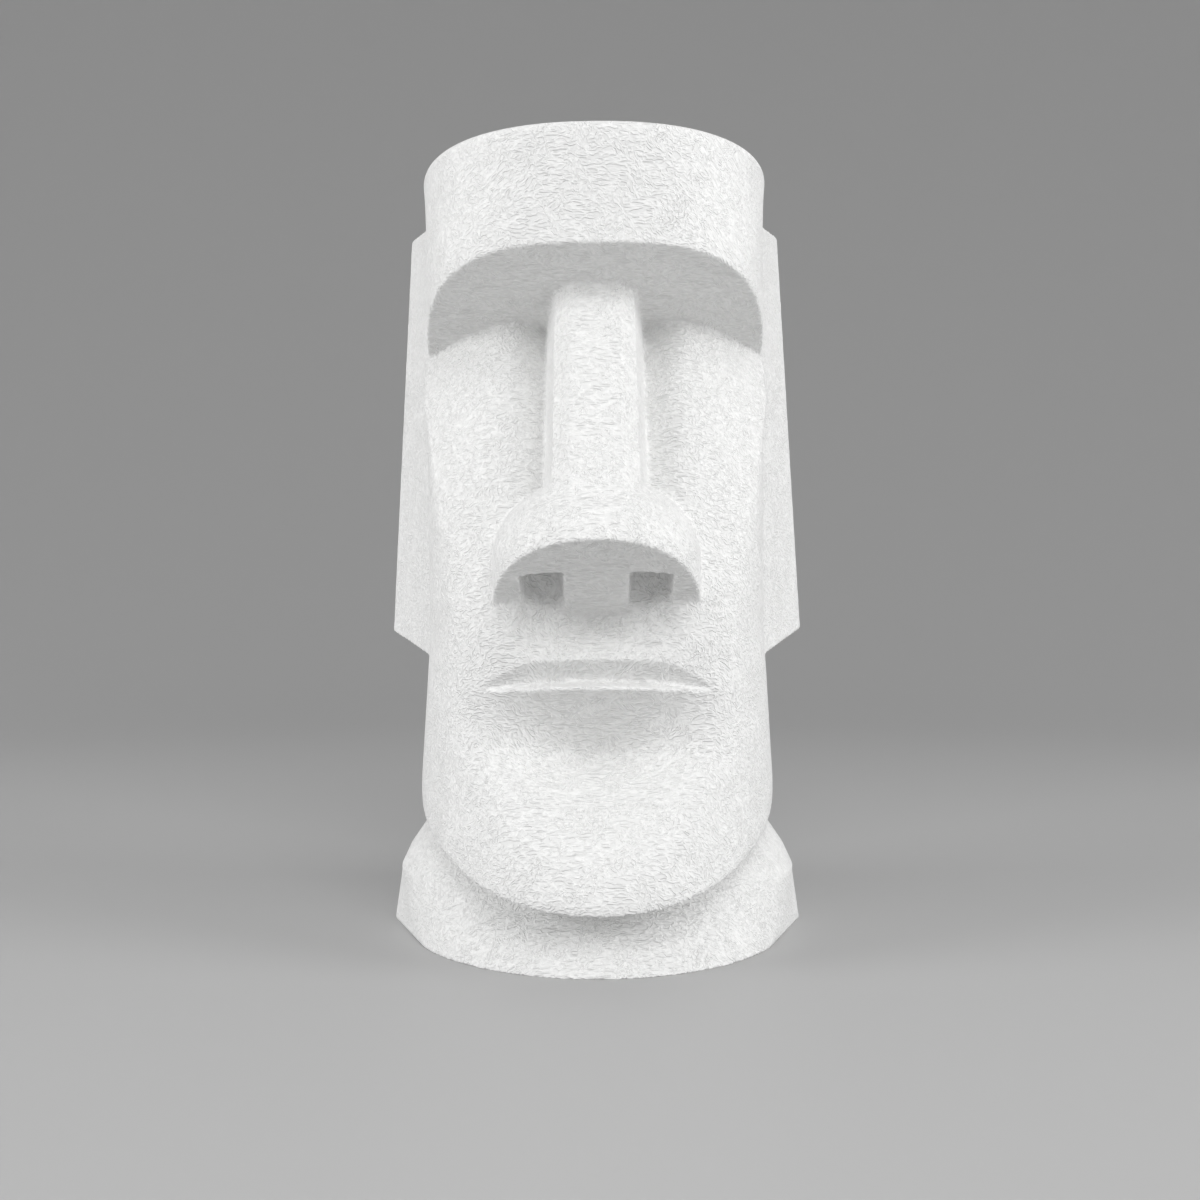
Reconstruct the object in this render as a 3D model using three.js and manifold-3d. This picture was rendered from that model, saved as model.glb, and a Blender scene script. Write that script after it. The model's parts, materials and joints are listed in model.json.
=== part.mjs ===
// A stylised moai head, cast as one solid piece that stands on its own flared base.
// Millimetres, +Z up, the face looks along -Y. The forms are set out about the axis of the
// head, and the finished solid is then moved so that its box stands centred on the origin.
import * as THREE from 'three';
import { mergeVertices } from 'three/addons/utils/BufferGeometryUtils.js';
import Module from 'manifold-3d';

const wasm = await Module();
wasm.setup();

// ---- driving dimensions ------------------------------------------------------------------
const HEIGHT = 241.4;          // floor to the flat crown
const CROWN_FILLET = 2.4;      // rounding of the crown's rim
const RING_POINTS = 72;        // points round a full ring of the skull, the tip and the base
const STEPS = { skull: 22, rim: 4, face: 60, mouth: 24, tip: 9, nostril: 10, ear: 8, facet: 5 };
const CUTTER = 600;            // size of the blocks that cut away a half-space
const SKIN = 0.1;              // how far a cut's end runs past a surface, so that none is left thin

// Head column: half-width, front depth and squareness of its plan at a few heights.
const SKULL_FOOT = 4;          // the column starts here, inside the base
const SKULL_WIDTH = [[0, 49], [34, 51], [60, 54.2], [90, 54.6], [160, 54.2], [205, 53.9], [232, 54.9],
                     [242, 55.8]];
const SKULL_FRONT = [[0, 60], [150, 75], [207, 75.2], [242, 78.5]];
const SKULL_BACK = [[0, 56], [60, 59], [150, 64], [207, 65], [242, 62]];
const SKULL_SQUARE = [[0, 2.4], [160, 2.8], [207, 3.0], [224, 2.6], [242, 2.3]];
const BACK_SQUARE = 2.5;

// Brow: its underside is a plane that falls towards the back.
const BROW_EDGE = { y: -75.2, z: 207.3, fall: 0.378 };
const FACE_FROM = -8;          // in front of this plane the head below the brow is the face

// Face: the cheek pads' depth by height, and how they turn back to the sides and the nose.
const PAD_DEPTH = [[12, -91], [30, -82.5], [46, -76], [62, -70], [80, -65.5], [95, -65], [110, -64],
                   [128, -61.5], [140, -58.5], [150, -55.5], [160, -51.6], [170, -46.8],
                   [180, -41.5], [192, -35]];
const PAD_PEAK = 25;           // distance of a pad's high line from the middle
const PAD_REACH = 20;          // width over which a pad turns back by PAD_TURN
const PAD_TURN = [[12, 2], [80, 4], [100, 9], [150, 11], [190, 14]];
const PAD_POWER = 1.7;
// How far the middle lies behind the pads beside the nose, and before them at the chin.
const VALLEY = [[14, -4], [34, -3], [58, 0], [86, 0], [101, 9.6], [130, 6.5], [190, 11]];
const FACE_WIDTH = [[12, 52.5], [24, 55], [46, 57.4], [60, 56.6], [80, 55.2], [100, 54], [155, 54],
                    [170, 55], [192, 54]];
const FACE_FRONT = [[12, 86], [22, 87.5], [34, 84.5], [50, 79], [80, 76], [192, 75]];
const FACE_SQUARE = [[12, 2.05], [46, 2.15], [80, 2.4], [110, 2.6], [192, 3.0]];
const FACE_BLEND = [[12, 4], [80, 12], [100, 3], [192, 2]];
const FACE_ENDS = { low: 6, high: 200 };
const FACE_ROOT = { y: 25, share: 0.9 };   // the face's back, buried in the head

// Jaw: its underside is a plane that rises towards the back.
const JAW_EDGE = { y: -87, z: 18.3, rise: 0.332 };

// Hollow under the lower lip: its depth and half-width by height, from the lip down to the chin.
const HOLLOW_DEPTH = [[28, 0], [36, 1.6], [44, 6.4], [50, 13], [56, 20.5], [59.5, 22.6], [62, 21.6],
                      [66, 17.6], [73, 9.2], [80.2, 0]];
const HOLLOW_WIDTH = [[28, 30], [45, 36], [61, 50], [80, 63]];
const HOLLOW_POWER = 2;        // how softly its sides run out

// Mouth: a slit with a wedge-shaped section that runs out at the corners.
const MOUTH = {
  halfWidth: 43.5, depth: 6, z: 82.2, droop: 4.6, upper: 1.27, lower: 0.22,
  power: 2.8,                  // how late the depth runs out towards the corners
  forward: 40,                 // how far the wedge opens out in front
};

// Nose: a ridge with a flat front and chamfered edges, and a domed tip.
const RIDGE = {
  topY: -55.8, topZ: 200, lean: 0.4576, topFlat: 7, lowZ: 134, lowFlat: 7.8, chamfer: 4.8, flare: 0.13,
  over: 12, past: 34,          // how far it runs on into the brow and into the tip
};
const TIP = { y: -60, z: 118, width: 30.4, front: 36.3, height: 24.5, wall: 30, square: 2.1 };
const NOSE_EDGE = { y: -95.6, z: 122.2, fall: 0.53 };
const NOSTRIL = {
  inner: 7, outer: 22,         // its two ends, from the middle line
  front: -80, back: -60, bow: 2.5, rise: 18, below: 25,
  lean: 0.1,                   // lean of its steep front wall
  bend: 0.8, bendRise: 1.1,    // where the roof turns down, and its height there over the rise
};
const SEPTUM = { halfWidth: 9.1, flare: 0.29 };

// Ears: long slabs whose faces sweep back from the sides of the head.
const EAR = {
  rootX: 46, rootY: -6, rootBack: 29, frontX: 53.6, frontY: -14, outerY: 19, backY: 27, edge: 1.6,
  top: { out: 63.2, outer: 231, inner: 227.2 },
  bottom: { out: 70.4, outer: 95.8, inner: 87.6 },
};

// Base: an elliptical front, a flat facet at each side, and shoulders that close on the neck.
const FLOOR = { width: 62.3, front: 81.6, back: 68 };
const FLOOR_CORNER = 67.3;     // half-width where the side facets end on the floor
const FACET_START = -44;       // where a facet leaves the front arc
const SHOULDER_RINGS = [[19.3, 64.5, 66, 66], [26, 61.4, 60.5, 62.5], [33, 56.6, 55.5, 57],
                        [46, 44, 46, 44]];

// From the mouth up the head leans very slightly to its right.
const LEAN = { shift: 0.006, roll: 0.0105, from: 66, full: 120 };

// ---- small tools --------------------------------------------------------------------------
// Smooth value at z through [z, value] stations, without overshoot (monotone cubic).
function along(stations, z) {
  const last = stations.length - 1;
  if (z <= stations[0][0]) return stations[0][1];
  if (z >= stations[last][0]) return stations[last][1];
  let i = 0;
  while (z > stations[i + 1][0]) i += 1;
  const secant = (k) => (stations[k + 1][1] - stations[k][1]) / (stations[k + 1][0] - stations[k][0]);
  const tangent = (k) => {
    if (k === 0) return secant(0);
    if (k === last) return secant(last - 1);
    const before = secant(k - 1);
    const after = secant(k);
    return before * after <= 0 ? 0 : (2 * before * after) / (before + after);
  };
  const step = stations[i + 1][0] - stations[i][0];
  const t = (z - stations[i][0]) / step;
  const h00 = (1 + 2 * t) * (1 - t) ** 2;
  const h01 = t * t * (3 - 2 * t);
  return h00 * stations[i][1] + h01 * stations[i + 1][1]
    + step * (t * (1 - t) ** 2 * tangent(i) - t * t * (1 - t) * tangent(i + 1));
}

// Evenly spaced values, both ends included.
function range(from, to, steps) {
  return Array.from({ length: steps + 1 }, (_, i) => from + ((to - from) * i) / steps);
}

const signedPower = (value, power) => Math.sign(value) * Math.abs(value) ** power;

// The larger of two values, with the corner between them rounded over a span.
function smoothMax(a, b, span) {
  const h = Math.max(span - Math.abs(a - b), 0) / span;
  return Math.max(a, b) + (h * h * span) / 4;
}

// Superellipse ring at height z, counter-clockwise from above, with its own front and back depth.
function ring(z, width, front, back, square, backSquare = BACK_SQUARE) {
  return Array.from({ length: RING_POINTS }, (_, i) => {
    const angle = (2 * Math.PI * i) / RING_POINTS;
    const sine = Math.sin(angle);
    const power = 2 / (sine > 0 ? backSquare : square);
    const depth = sine > 0 ? back : front;
    const x = width * signedPower(Math.cos(angle), power);
    return new THREE.Vector3(x, depth * signedPower(sine, power), z);
  });
}

function toManifold(geometry) {
  geometry.deleteAttribute('normal');
  geometry.deleteAttribute('uv');
  const merged = mergeVertices(geometry, 1e-4);
  return new wasm.Manifold(new wasm.Mesh({
    numProp: 3,
    vertProperties: new Float32Array(merged.attributes.position.array),
    triVerts: new Uint32Array(merged.index.array),
  }));
}

// Closed body through a row of like rings; the flat map tells how an end ring is seen when capped.
function loft(rings, flat = (p) => new THREE.Vector2(p.x, p.y)) {
  const count = rings[0].length;
  const positions = rings.flat().flatMap((p) => [p.x, p.y, p.z]);
  const index = [];
  for (let r = 0; r < rings.length - 1; r += 1) {
    for (let i = 0; i < count; i += 1) {
      const a = r * count + i;
      const b = r * count + ((i + 1) % count);
      index.push(a, b, b + count, a, b + count, a + count);
    }
  }
  const cap = THREE.ShapeUtils.triangulateShape(rings[0].map(flat), []);
  const top = (rings.length - 1) * count;
  for (const [a, b, c] of cap) {
    index.push(a, c, b);
    index.push(top + a, top + b, top + c);
  }
  const geometry = new THREE.BufferGeometry();
  geometry.setAttribute('position', new THREE.Float32BufferAttribute(positions, 3));
  geometry.setIndex(index);
  return toManifold(geometry);
}

// Everything under the plane through (y, z) that climbs by slope for each millimetre towards +Y.
function under({ y, z }, slope) {
  const box = new THREE.BoxGeometry(CUTTER, CUTTER, CUTTER);
  box.translate(0, 0, -CUTTER / 2);
  box.rotateX(Math.atan(slope));
  box.translate(0, y, z);
  return toManifold(box);
}

// Everything in front of the plane at y and below the height z.
function inFront(y, z) {
  const box = new THREE.BoxGeometry(CUTTER, CUTTER, CUTTER);
  box.translate(0, y - CUTTER / 2, z - CUTTER / 2);
  return toManifold(box);
}

// ---- the forms ----------------------------------------------------------------------------
// The column of the head, from inside the base to the rounded rim of the crown.
function skull() {
  const walls = range(SKULL_FOOT, HEIGHT - CROWN_FILLET, STEPS.skull);
  const rim = range(0, Math.PI / 2, STEPS.rim).slice(1);
  const at = (z, inset) => ring(
    z,
    along(SKULL_WIDTH, z) - inset,
    along(SKULL_FRONT, z) - inset,
    along(SKULL_BACK, z) - inset,
    along(SKULL_SQUARE, z),
  );
  return loft([
    ...walls.map((z) => at(z, 0)),
    ...rim.map((a) => at(HEIGHT - CROWN_FILLET * (1 - Math.sin(a)), CROWN_FILLET * (1 - Math.cos(a)))),
  ]);
}

// Depth of the face at (x, z): pads that turn back to both sides, less the hollow under the lip.
function faceDepth(x, z) {
  const across = Math.abs(x);
  const outside = Math.max(across - PAD_PEAK, 0) / PAD_REACH;
  const inside = Math.max(1 - (across / PAD_PEAK) ** 2, 0);
  const middle = Math.max(1 - (across / along(HOLLOW_WIDTH, z)) ** 2, 0) ** HOLLOW_POWER;
  return along(PAD_DEPTH, z) + along(PAD_TURN, z) * outside ** PAD_POWER
    + along(VALLEY, z) * inside ** 2 + along(HOLLOW_DEPTH, z) * middle;
}

// The face and jaw: a column whose front half follows faceDepth wherever that lies deeper.
function face() {
  const half = RING_POINTS / 2;
  const rings = range(FACE_ENDS.low, FACE_ENDS.high, STEPS.face).map((z) => {
    const width = along(FACE_WIDTH, z);
    const front = along(FACE_FRONT, z);
    const power = along(FACE_SQUARE, z);
    const forward = Array.from({ length: half + 1 }, (_, i) => {
      const x = -width * Math.cos((Math.PI * i) / half);
      const outer = -front * (1 - (Math.abs(x) / width) ** power) ** (1 / power);
      return new THREE.Vector3(x, smoothMax(outer, faceDepth(x, z), along(FACE_BLEND, z)), z);
    });
    const backward = [1, -1].map((side) => new THREE.Vector3(side * width * FACE_ROOT.share, FACE_ROOT.y, z));
    return [...forward, ...backward];
  });
  return loft(rings).subtract(under(JAW_EDGE, JAW_EDGE.rise));
}

// Ridge of the nose: a flat front between two chamfers, the sides flaring into the face.
function noseRidge() {
  const rings = [RIDGE.topZ + RIDGE.over, RIDGE.lowZ - RIDGE.past].map((z) => {
    const down = (RIDGE.topZ - z) / (RIDGE.topZ - RIDGE.lowZ);
    const frontY = RIDGE.topY - RIDGE.lean * (RIDGE.topZ - z);
    const flat = RIDGE.topFlat + (RIDGE.lowFlat - RIDGE.topFlat) * down;
    const side = flat + RIDGE.chamfer;
    const sideY = frontY + RIDGE.chamfer;
    const root = side - sideY * RIDGE.flare;
    const half = [[flat, frontY], [side, sideY], [root, 0]];
    return [...half.map(([x, y]) => [x, y]), ...half.reverse().map(([x, y]) => [-x, y])]
      .map(([x, y]) => new THREE.Vector3(x, y, z));
  });
  return loft(rings.reverse());
}

// Domed tip: a quarter-ellipsoid crown on an elliptical wall.
function noseTip() {
  const at = (z, scale) => ring(z, TIP.width * scale, TIP.front * scale, TIP.front * scale, TIP.square, 2)
    .map((p) => new THREE.Vector3(p.x, p.y + TIP.y, p.z));
  const crown = range(0, Math.PI / 2, STEPS.tip).slice(0, -1);
  return loft([
    at(TIP.z - TIP.wall, 1),
    ...crown.map((a) => at(TIP.z + TIP.height * Math.sin(a), Math.cos(a))),
  ]);
}

// Height of the sloping underside of the nose at depth y.
const noseUnder = (y) => NOSE_EDGE.z - NOSE_EDGE.fall * (y - NOSE_EDGE.y);

// One nostril: sections across x with a steep front and a roof that turns down at the back. The
// roof falls off towards the outer end, and a wall that leans outwards keeps it off the septum.
function nostril(side) {
  const sections = range(0, 1, STEPS.nostril).map((t) => {
    const x = NOSTRIL.inner + (NOSTRIL.outer - NOSTRIL.inner) * t;
    const front = NOSTRIL.front + NOSTRIL.bow * t ** 4;
    const roof = NOSTRIL.rise * (1 - t ** 4);
    const bend = front + NOSTRIL.bend * (NOSTRIL.back - front);
    const outline = [
      [front + NOSTRIL.lean * roof, roof], [front, -NOSTRIL.below],
      [NOSTRIL.back, -SKIN], [bend, NOSTRIL.bendRise * roof],
    ];
    return outline.map(([y, rise]) => new THREE.Vector3(x, y, noseUnder(y) + rise));
  });
  const wall = new THREE.BoxGeometry(CUTTER, CUTTER, CUTTER);
  wall.translate(CUTTER / 2, 0, 0);
  wall.rotateY(Math.atan(SEPTUM.flare));
  wall.translate(SEPTUM.halfWidth, 0, 0);
  wall.rotateX(-Math.atan(NOSE_EDGE.fall));
  wall.translate(0, NOSTRIL.back, noseUnder(NOSTRIL.back));
  const cut = loft(sections, (p) => new THREE.Vector2(p.y, p.z)).intersect(toManifold(wall));
  return side > 0 ? cut : cut.mirror([1, 0, 0]);
}

// Mouth: triangles across the face, apex inside, both faces running out forward.
function mouth() {
  const { forward } = MOUTH;
  const slices = range(-1, 1, STEPS.mouth).map((t) => {
    const x = t * MOUTH.halfWidth;
    const depth = MOUTH.depth * (1 - Math.abs(t) ** MOUTH.power);
    const apexY = faceDepth(x, MOUTH.z) + depth;
    const apexZ = MOUTH.z - MOUTH.droop * t * t;
    return [
      new THREE.Vector3(x, apexY, apexZ),
      new THREE.Vector3(x, apexY - forward, apexZ + MOUTH.upper * forward),
      new THREE.Vector3(x, apexY - forward, apexZ - MOUTH.lower * forward),
    ];
  });
  return loft(slices, (p) => new THREE.Vector2(p.y, p.z));
}

// One ear: a slab with a swept face, sloping ends and a chamfered outer edge.
function ear(side) {
  const { bottom, top } = EAR;
  const rings = range(0, 1, STEPS.ear).map((t) => {
    const out = bottom.out + (top.out - bottom.out) * t;
    const inner = bottom.inner + (top.inner - bottom.inner) * t;
    const outer = bottom.outer + (top.outer - bottom.outer) * t;
    const slope = (outer - inner) / (EAR.outerY - EAR.frontY);
    const height = (y) => inner + slope * (Math.min(y, EAR.outerY) - EAR.frontY);
    const outline = [
      [EAR.rootX, EAR.rootY], [EAR.frontX, EAR.frontY], [out - EAR.edge * 0.4, EAR.outerY - EAR.edge],
      [out, EAR.outerY + EAR.edge * 0.2], [out - EAR.edge, EAR.backY], [EAR.rootX, EAR.rootBack],
    ];
    const points = outline.map(([x, y]) => new THREE.Vector3(side * x, y, height(y)));
    return side > 0 ? points : points.reverse();
  });
  return loft(rings);
}

// Base: rings whose side corners draw in from the floor to the shoulder, then close on the neck.
function base() {
  const [, shoulderX, shoulderFront, shoulderBack] = SHOULDER_RINGS[0];
  const mix = (from, to, t) => from + (to - from) * t;
  const low = range(0, 1, STEPS.facet).map((t) => {
    const width = mix(FLOOR.width, shoulderX, t);
    const front = mix(FLOOR.front, shoulderFront, t);
    const back = mix(FLOOR.back, shoulderBack, t);
    const corner = mix(FLOOR_CORNER, shoulderX, t);
    const start = FACET_START * (1 - t);
    const startX = width * Math.sqrt(1 - (start / front) ** 2);
    return ring(SHOULDER_RINGS[0][0] * t, width, front, back, 2, 2).map((p) => {
      const side = Math.sign(p.x);
      if (p.y > 0) return new THREE.Vector3((p.x * corner) / width, p.y, p.z);
      if (p.y < start || t === 1) return p;
      return new THREE.Vector3(side * mix(corner, startX, p.y / start), p.y, p.z);
    });
  });
  const high = SHOULDER_RINGS.slice(1).map(([z, width, front, back]) => ring(z, width, front, back, 2, 2));
  return loft([...low, ...high]);
}

// Turns the upper head about the mouth by a small lean, fading in with height.
function lean(geometry) {
  const position = geometry.attributes.position;
  for (let i = 0; i < position.count; i += 1) {
    const x = position.getX(i);
    const z = position.getZ(i);
    const share = THREE.MathUtils.smoothstep(z, LEAN.from, LEAN.full);
    position.setX(i, x - LEAN.shift * Math.max(z - LEAN.from, 0) * share);
    position.setZ(i, z + LEAN.roll * x * share);
  }
  return geometry;
}

// ---- the whole, as one solid ---------------------------------------------------------------
function statue() {
  const belowBrow = under(BROW_EDGE, -BROW_EDGE.fall);
  const faceRoom = belowBrow.intersect(inFront(FACE_FROM, HEIGHT));
  const nose = noseRidge().add(noseTip())
    .subtract(under(NOSE_EDGE, -NOSE_EDGE.fall))
    .subtract(nostril(1))
    .subtract(nostril(-1));
  return skull()
    .subtract(faceRoom)
    .add(face().subtract(mouth()))
    .add(nose)
    .add(ear(1))
    .add(ear(-1))
    .add(base());
}

// Sets the middle of the underside of the solid's box at the origin.
function centre(geometry) {
  geometry.computeBoundingBox();
  const middle = geometry.boundingBox.getCenter(new THREE.Vector3());
  return geometry.translate(-middle.x, -middle.y, -geometry.boundingBox.min.z);
}

function toGeometry(manifold) {
  const mesh = manifold.getMesh();
  const geometry = new THREE.BufferGeometry();
  geometry.setAttribute('position', new THREE.Float32BufferAttribute(mesh.vertProperties, 3));
  geometry.setIndex(new THREE.Uint32BufferAttribute(mesh.triVerts, 1));
  return geometry;
}

const plaster = new THREE.MeshStandardMaterial({ color: 0xefefed, roughness: 0.92, metalness: 0 });
const moai = new THREE.Mesh(centre(lean(toGeometry(statue()))), plaster);
moai.name = 'moai_statue';

const group = new THREE.Group();
group.add(moai);

export default group;
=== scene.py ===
"""A stylised moai head, cast in one piece of white plaster, on a plain pale studio floor.

The casting is set out in millimetres about the axis of the head: +Z up, the face along -Y.
Its forms are closed surfaces carried through rows of rings, joined and cut by modifiers,
then remeshed and smoothed so that every edge has the soft arris of a cast.
"""
import json
import math

import bpy
import numpy as np
from bpy.props import FloatProperty, FloatVectorProperty, IntProperty, PointerProperty
from bpy.types import Operator, Panel, PropertyGroup
from mathutils import Euler, Matrix, Vector

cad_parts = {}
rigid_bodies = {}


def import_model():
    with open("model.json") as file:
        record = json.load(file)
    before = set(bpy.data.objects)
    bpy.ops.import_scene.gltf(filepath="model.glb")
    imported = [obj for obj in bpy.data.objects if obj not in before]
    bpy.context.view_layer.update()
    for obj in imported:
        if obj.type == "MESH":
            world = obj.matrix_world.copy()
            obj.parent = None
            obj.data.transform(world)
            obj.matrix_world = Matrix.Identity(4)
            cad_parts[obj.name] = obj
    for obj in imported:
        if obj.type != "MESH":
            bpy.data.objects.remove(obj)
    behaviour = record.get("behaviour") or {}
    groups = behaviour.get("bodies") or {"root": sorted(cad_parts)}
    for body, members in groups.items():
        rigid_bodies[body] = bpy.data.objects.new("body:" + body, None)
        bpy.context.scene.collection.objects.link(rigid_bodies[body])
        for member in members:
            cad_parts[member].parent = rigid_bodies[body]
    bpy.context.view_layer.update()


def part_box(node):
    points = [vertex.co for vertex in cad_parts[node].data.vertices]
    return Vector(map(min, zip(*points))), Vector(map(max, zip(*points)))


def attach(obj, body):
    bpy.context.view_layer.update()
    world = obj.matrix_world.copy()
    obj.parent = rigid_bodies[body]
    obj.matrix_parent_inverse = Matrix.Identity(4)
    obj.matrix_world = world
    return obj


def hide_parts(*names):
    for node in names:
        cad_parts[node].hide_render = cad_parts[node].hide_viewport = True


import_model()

bl_info = {
    "name": "Moai Head Casting",
    "version": (1, 0, 0),
    "blender": (4, 5, 0),
    "location": "View3D > Sidebar > Moai",
    "description": "Builds a plaster moai head and the studio it stands in",
    "category": "Add Mesh",
}

NODE = "moai_statue"
MM = 0.001
BOX_LOW, BOX_HIGH = (np.array(corner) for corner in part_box(NODE))

# ---- form lines: (height, value) in millimetres ---------------------------------------------

# Column of the head: half-width, front and back depth, and the exponent of its front half.
SKULL_WIDTH = ((0, 49), (34, 51), (60, 54.2), (90, 54.6), (160, 54.2), (205, 53.9), (232, 54.9),
               (242, 55.8))
SKULL_FRONT = ((0, 60), (150, 75), (207, 75.2), (242, 78.5))
SKULL_BACK = ((0, 56), (60, 59), (150, 64), (207, 65), (242, 62))
SKULL_SQUARE = ((0, 2.4), (160, 2.8), (207, 3.0), (224, 2.6), (242, 2.3))
BACK_SQUARE = 2.5
SKULL_FOOT = 4            # height of the lowest ring, inside the base

# Face and jaw: half-width, front depth, exponent, and rounding of the corner to the cheek pads.
FACE_WIDTH = ((12, 52.5), (24, 55), (46, 57.4), (60, 56.6), (80, 55.2), (100, 54), (155, 54),
              (170, 55), (192, 54))
FACE_FRONT = ((12, 86), (22, 87.5), (34, 84.5), (50, 79), (80, 76), (192, 75))
FACE_SQUARE = ((12, 2.05), (46, 2.15), (80, 2.4), (110, 2.6), (192, 3.0))
FACE_BLEND = ((12, 4), (80, 12), (100, 3), (192, 2))
FACE_ENDS = (6, 200)      # heights of the lowest and the highest ring
FACE_ROOT_Y = 25          # the face's back, buried in the head
FACE_ROOT_SHARE = 0.9     # its half-width there, as a share

# Cheek pads: depth of their high line, how far they turn back, and where that line stands.
PAD_DEPTH = ((12, -91), (30, -82.5), (46, -76), (62, -70), (80, -65.5), (95, -65), (110, -64),
             (128, -61.5), (140, -58.5), (150, -55.5), (160, -51.6), (170, -46.8), (180, -41.5),
             (192, -35))
PAD_TURN = ((12, 2), (80, 4), (100, 9), (150, 11), (190, 14))
PAD_PEAK = 25
PAD_REACH = 20
PAD_POWER = 1.7
# How far the middle lies behind the pads beside the nose, and before them at the chin.
VALLEY = ((14, -4), (34, -3), (58, 0), (86, 0), (101, 9.6), (130, 6.5), (190, 11))
# Hollow under the lower lip, and how softly its sides run out.
HOLLOW_DEPTH = ((28, 0), (36, 1.6), (44, 6.4), (50, 13), (56, 20.5), (59.5, 22.6), (62, 21.6), (66, 17.6),
                (73, 9.2), (80.2, 0))
HOLLOW_WIDTH = ((28, 30), (45, 36), (61, 50), (80, 63))
HOLLOW_POWER = 2

# Shoulder of the base: height, half-width, front and back of each ring.
SHOULDER_RINGS = ((19.3, 64.5, 66, 66), (26, 61.4, 60.5, 62.5), (33, 56.6, 55.5, 57), (46, 44, 46, 44))

# The ridge runs on up into the brow, and ridge and tip run on down past the nose's underside.
RIDGE_OVER = 12
RIDGE_PAST = 34
TIP_WALL = 30
TIP_SQUARE = 2.1          # exponent of the front half of the tip
MOUTH_FORWARD = 40        # reach of the slit's wedge, from its apex out in front of the face

NOSTRIL_POWER = 4         # how late roof and front edge give way towards the outer end
NOSTRIL_LEAN = 0.1        # lean of the front wall, over its rise
NOSTRIL_BEND = 0.8        # where the roof bends, as a share of the way back
NOSTRIL_BEND_RISE = 1.1   # height of the roof there, over its height at the front
NOSTRIL_BELOW = -25       # low front edge of the cutter, from the underside
NOSTRIL_SKIN = -0.1       # back edge of the cutter, from the underside
SEPTUM_REACH = 60         # block that keeps a nostril off the septum: its reach across and along
SEPTUM_HALF = 30          # and its half-height

# Ear: shares of the chamfer that set its two corners, and how far the root's back lies behind
# the slab's.
EAR_EDGE_OUT = 0.4
EAR_EDGE_BACK = 0.2
EAR_ROOT_BACK = 2

# Cutting blocks: half-width and depth of the one under a plane, and corners of the one at the face.
CUTTER = 300
CUTTER_DEPTH = 600
FACE_BLOCK_LOW = (-150, -200, -50)
FACE_BLOCK_SIDE = 150

TINY = 1e-6               # keeps a division off nought

# Rows and columns that the curved surfaces are carried through.
SKULL_ROWS, RIM_ROWS, FACE_ROWS, FACE_COLUMNS = 150, 8, 260, 200
MOUTH_ROWS, TIP_ROWS, TIP_COLUMNS, NOSTRIL_ROWS, EAR_ROWS, BASE_ROWS = 120, 48, 192, 40, 40, 24

# ---- finish and stage ------------------------------------------------------------------------

# Euler angles in degrees that lay each family of strands, and the shares between which the
# patches go over to the second and to the third family.
STRAND_TURNS = ((0, 0, 0), (10, 40, 50), (-20, -35, -40))
PATCHES = ((0.5, 0.56), (0.6, 0.66))
CREST_LEVEL = 0.5
PLASTER_SPECULAR = 0.25
SMOOTH_FACTOR = 0.5

# Lamps: place in metres, with y from the axis of the head, and size of the square.
AIM_HEIGHT = 0.12
RIGHT_LAMP = ((1.15, -0.45, 0.4), 0.6)
LEFT_LAMP = ((-1.15, -0.45, 0.36), 0.6)
FRONT_LAMP = ((0.12, -0.8, 0.68), 0.55)
FLOOR_ROUGHNESS = 0.6
FLOOR_EYE = 0.02          # radius of the small face that closes the floor in the middle
COVE_ROWS, COVE_COLUMNS = 17, 96
SENSOR = 36


# ---- settings --------------------------------------------------------------------------------

def length(name, description, default):
    """A size in millimetres."""
    return FloatProperty(name=name, description=description, default=default, unit="NONE", precision=2)


def factor(name, description, default):
    """A plain ratio."""
    return FloatProperty(name=name, description=description, default=default, precision=4)


class MoaiSizes(PropertyGroup):
    """Sizes of the casting, in millimetres."""

    height: length("Height", "Floor to the flat crown", 241.4)
    crown_fillet: length("Crown fillet", "Rounding of the rim of the crown", 2.4)
    brow_y: length("Brow front", "Where the edge of the brow lies on the middle line", -75.2)
    brow_z: length("Brow height", "Height of the edge of the brow on the middle line", 207.3)
    brow_fall: factor("Brow fall", "Drop of the underside of the brow towards the back", 0.378)
    face_from: length("Face plane", "In front of this plane the head below the brow is the face", -8)
    jaw_y: length("Jaw front", "Where the edge of the jaw lies on the middle line", -87)
    jaw_z: length("Jaw height", "Height of the edge of the jaw on the middle line", 18.3)
    jaw_rise: factor("Jaw rise", "Climb of the underside of the jaw towards the back", 0.332)
    mouth_half: length("Mouth half-width", "Middle to a corner of the mouth", 43.5)
    mouth_depth: length("Mouth depth", "Depth of the slit on the middle line", 6)
    mouth_z: length("Mouth height", "Height of the inner line of the slit", 82.2)
    mouth_droop: length("Mouth droop", "How far the corners lie below the middle", 4.6)
    mouth_upper: factor("Upper lip slope", "Climb of the upper face of the slit", 1.27)
    mouth_lower: factor("Lower lip slope", "Fall of the lower face of the slit", 0.22)
    mouth_power: factor("Mouth fullness", "How late the slit's depth runs out towards the corners", 2.8)
    lean_shift: factor("Lean", "Sideways shift of the upper head with height", 0.006)
    lean_roll: factor("Roll", "Turn of the upper head in the plane of the face", 0.0105)
    lean_from: length("Lean from", "Height at which the lean begins", 66)
    lean_full: length("Lean full", "Height at which the lean is whole", 120)


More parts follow.
